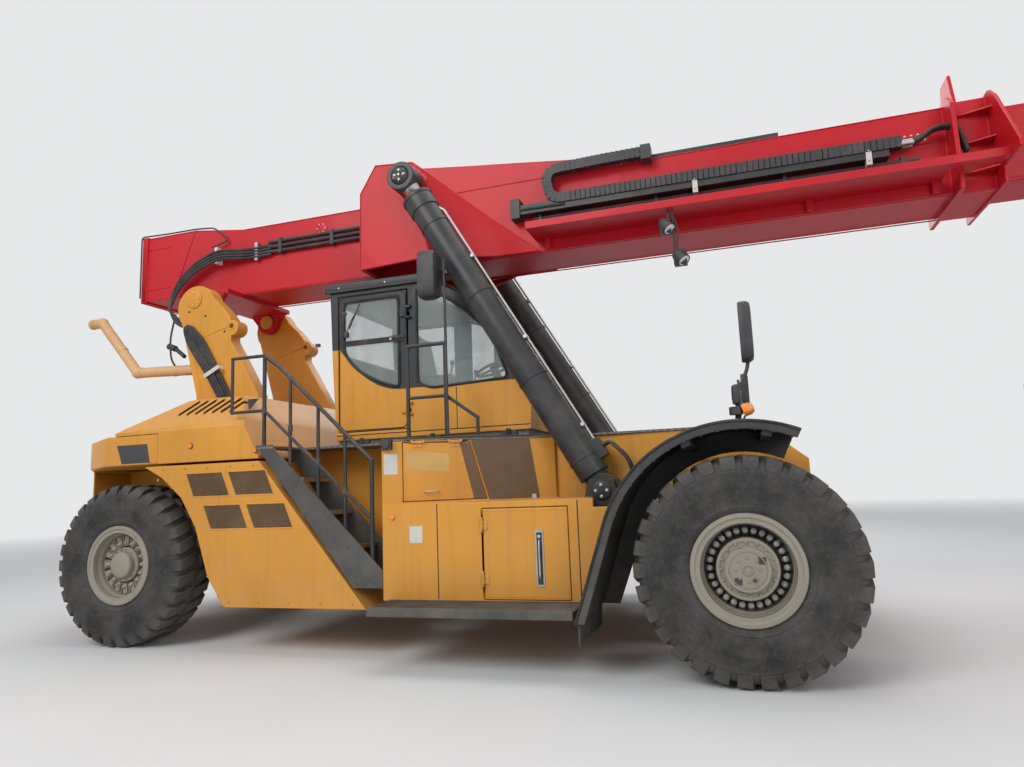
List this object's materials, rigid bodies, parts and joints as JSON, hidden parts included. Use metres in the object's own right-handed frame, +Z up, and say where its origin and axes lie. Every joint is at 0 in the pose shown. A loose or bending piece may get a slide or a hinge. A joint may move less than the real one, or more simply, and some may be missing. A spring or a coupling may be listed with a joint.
{
  "type": "reach stacker",
  "caption": "Diesel reach stacker for freight containers: yellow four-wheel chassis with cab, red telescoping boom on lift cylinders, and a hanging top spreader.",
  "frame": {"origin": "on the ground below the middle of the machine, tyres standing on Z 0", "axes": "+X forward along the boom, +Y to the machine's left, +Z up"},
  "size_m": [13.36, 6.074, 5.0599],
  "materials": {
    "yellow_paint": "satin industrial paint, faded",
    "red_paint": "gloss industrial paint",
    "black_paint": "satin black paint",
    "dark_paint": "satin dark grey paint",
    "grey_paint": "dusty grey paint",
    "rim_paint": "dusty cream paint",
    "pipe_paint": "faded orange paint",
    "tyre_rubber": "dusty black rubber",
    "soft_black": "black vinyl and moulded plastic",
    "pane": "tinted clear glass"
  },
  "bodies": {
    "chassis": {"main_frame": "yellow_paint", "boom_towers": "yellow_paint", "counterweight": "yellow_paint", "engine_block": "dark_paint", "hood": "yellow_paint", "side_covers": "yellow_paint", "side_grilles": "dark_paint", "side_boxes": "yellow_paint", "walk_decks": "dark_paint", "stairs": "grey_paint", "handrails": "black_paint", "front_fenders": "dark_paint", "front_axle": "dark_paint", "rear_axle": "dark_paint", "air_pipe": "pipe_paint", "cab_shell": "yellow_paint", "cab_roof": "dark_paint", "cab_glass": "pane", "cab_interior": "soft_black", "mirrors": "black_paint"},
    "cab_door": {"cab_door": "black_paint", "door_glass": "pane"},
    "boom": {"base_boom": "red_paint", "boom_knee": "red_paint", "boom_rail": "red_paint", "boom_pipes": "black_paint"},
    "inner_boom": {"inner_boom": "red_paint", "boom_head": "red_paint"},
    "hanger": {"spreader_hanger": "red_paint"},
    "carriage": {"slew_carriage": "red_paint"},
    "spreader": {"spreader_frame": "red_paint"},
    "end_right": {"end_beam_right": "red_paint"},
    "right_lid": {"right_lid": "yellow_paint"},
    "right_door": {"right_door": "yellow_paint"},
    "front_wheels_right": {"front_tyres_right": "tyre_rubber", "front_rims_right": "rim_paint"},
    "knuckle_right": {"knuckle_right": "dark_paint"},
    "rear_wheel_right": {"rear_tyre_right": "tyre_rubber", "rear_rim_right": "rim_paint"},
    "lift_barrel_right": {"lift_barrel_right": "black_paint"},
    "lift_rod_right": {"lift_rod_right": "black_paint"},
    "end_left": {"end_beam_left": "red_paint"},
    "left_lid": {"left_lid": "yellow_paint"},
    "left_door": {"left_door": "yellow_paint"},
    "front_wheels_left": {"front_tyres_left": "tyre_rubber", "front_rims_left": "rim_paint"},
    "knuckle_left": {"knuckle_left": "dark_paint"},
    "rear_wheel_left": {"rear_tyre_left": "tyre_rubber", "rear_rim_left": "rim_paint"},
    "lift_barrel_left": {"lift_barrel_left": "black_paint"},
    "lift_rod_left": {"lift_rod_left": "black_paint"}
  },
  "joints": [
    {"name": "boom_lift", "type": "hinge", "parent": "chassis", "child": "boom", "pos_m": [-5.07, 0, 3.7], "axis": [0, -1, 0], "range_deg": [0, 60]},
    {"name": "boom_extend", "type": "slide", "parent": "boom", "child": "inner_boom", "axis": [1, 0, 0], "range_m": [-0.81, 5.69]},
    {"name": "hanger_swing", "type": "hinge", "parent": "inner_boom", "child": "hanger", "pos_m": [5.44, 0, 3.6], "axis": [0, 1, 0], "range_deg": [0, 60]},
    {"name": "spreader_turn", "type": "hinge", "parent": "hanger", "child": "carriage", "pos_m": [5.44, 0, 2.6297], "axis": [0, 0, 1], "range_deg": [-95, 185]},
    {"name": "side_shift", "type": "slide", "parent": "carriage", "child": "spreader", "axis": [0, -1, 0], "range_m": [-0.8, 0.8]},
    {"name": "beam_left_out", "type": "slide", "parent": "spreader", "child": "end_left", "axis": [0, 1, 0], "range_m": [0, 3.066]},
    {"name": "beam_right_out", "type": "slide", "parent": "spreader", "child": "end_right", "axis": [0, -1, 0], "range_m": [0, 3.066]},
    {"name": "cab_door_open", "type": "hinge", "parent": "chassis", "child": "cab_door", "pos_m": [-2.385, -0.794, 2.25], "axis": [0, 0, 1], "range_deg": [0, 80]},
    {"name": "front_roll_right", "type": "hinge", "parent": "chassis", "child": "front_wheels_right", "pos_m": [0.78, -1.805, 0.795], "axis": [0, 1, 0], "continuous": true},
    {"name": "steer_right", "type": "hinge", "parent": "chassis", "child": "knuckle_right", "pos_m": [-5.22, -1, 0.795], "axis": [0, 0, 1], "range_deg": [-45, 45]},
    {"name": "rear_roll_right", "type": "hinge", "parent": "knuckle_right", "child": "rear_wheel_right", "pos_m": [-5.22, -1.365, 0.795], "axis": [0, 1, 0], "continuous": true},
    {"name": "lift_lean_right", "type": "hinge", "parent": "chassis", "child": "lift_barrel_right", "pos_m": [-0.38, -0.95, 1.36], "axis": [0, -1, 0], "range_deg": [0, 8.16]},
    {"name": "lift_stroke_right", "type": "slide", "parent": "lift_barrel_right", "child": "lift_rod_right", "axis": [-0.5059, 0, 0.8626], "range_m": [0, 2.875]},
    {"name": "right_lid_open", "type": "hinge", "parent": "chassis", "child": "right_lid", "pos_m": [-2.21152, -1.66357, 1.848], "axis": [-0.848, -0.53, 0], "range_deg": [0, 80]},
    {"name": "right_door_open", "type": "hinge", "parent": "chassis", "child": "right_door", "pos_m": [-1.293, -1.666, 0.9], "axis": [0, 0, -1], "range_deg": [0, 110]},
    {"name": "front_roll_left", "type": "hinge", "parent": "chassis", "child": "front_wheels_left", "pos_m": [0.78, 1.805, 0.795], "axis": [0, 1, 0], "continuous": true},
    {"name": "steer_left", "type": "hinge", "parent": "chassis", "child": "knuckle_left", "pos_m": [-5.22, 1, 0.795], "axis": [0, 0, 1], "range_deg": [-45, 45]},
    {"name": "rear_roll_left", "type": "hinge", "parent": "knuckle_left", "child": "rear_wheel_left", "pos_m": [-5.22, 1.365, 0.795], "axis": [0, 1, 0], "continuous": true},
    {"name": "lift_lean_left", "type": "hinge", "parent": "chassis", "child": "lift_barrel_left", "pos_m": [-0.38, 0.95, 1.36], "axis": [0, -1, 0], "range_deg": [0, 8.16]},
    {"name": "lift_stroke_left", "type": "slide", "parent": "lift_barrel_left", "child": "lift_rod_left", "axis": [-0.5059, 0, 0.8626], "range_m": [0, 2.875]},
    {"name": "left_lid_open", "type": "hinge", "parent": "chassis", "child": "left_lid", "pos_m": [-2.21152, 1.66357, 1.848], "axis": [0.848, -0.53, 0], "range_deg": [0, 80]},
    {"name": "left_door_open", "type": "hinge", "parent": "chassis", "child": "left_door", "pos_m": [-1.293, 1.666, 0.9], "axis": [0, 0, 1], "range_deg": [0, 110]}
  ],
  "couplings": [
    {"joint": "hanger_swing", "follows": "boom_lift", "ratio": 1},
    {"joint": "beam_right_out", "follows": "beam_left_out", "ratio": 1},
    {"joint": "steer_left", "follows": "steer_right", "ratio": 1},
    {"joint": "lift_lean_right", "follows": "boom_lift", "ratio": 0.12765},
    {"joint": "lift_stroke_right", "follows": "boom_lift", "m_per_rad": 2.7263},
    {"joint": "lift_lean_left", "follows": "boom_lift", "ratio": 0.12765},
    {"joint": "lift_stroke_left", "follows": "boom_lift", "m_per_rad": 2.7263}
  ]
}
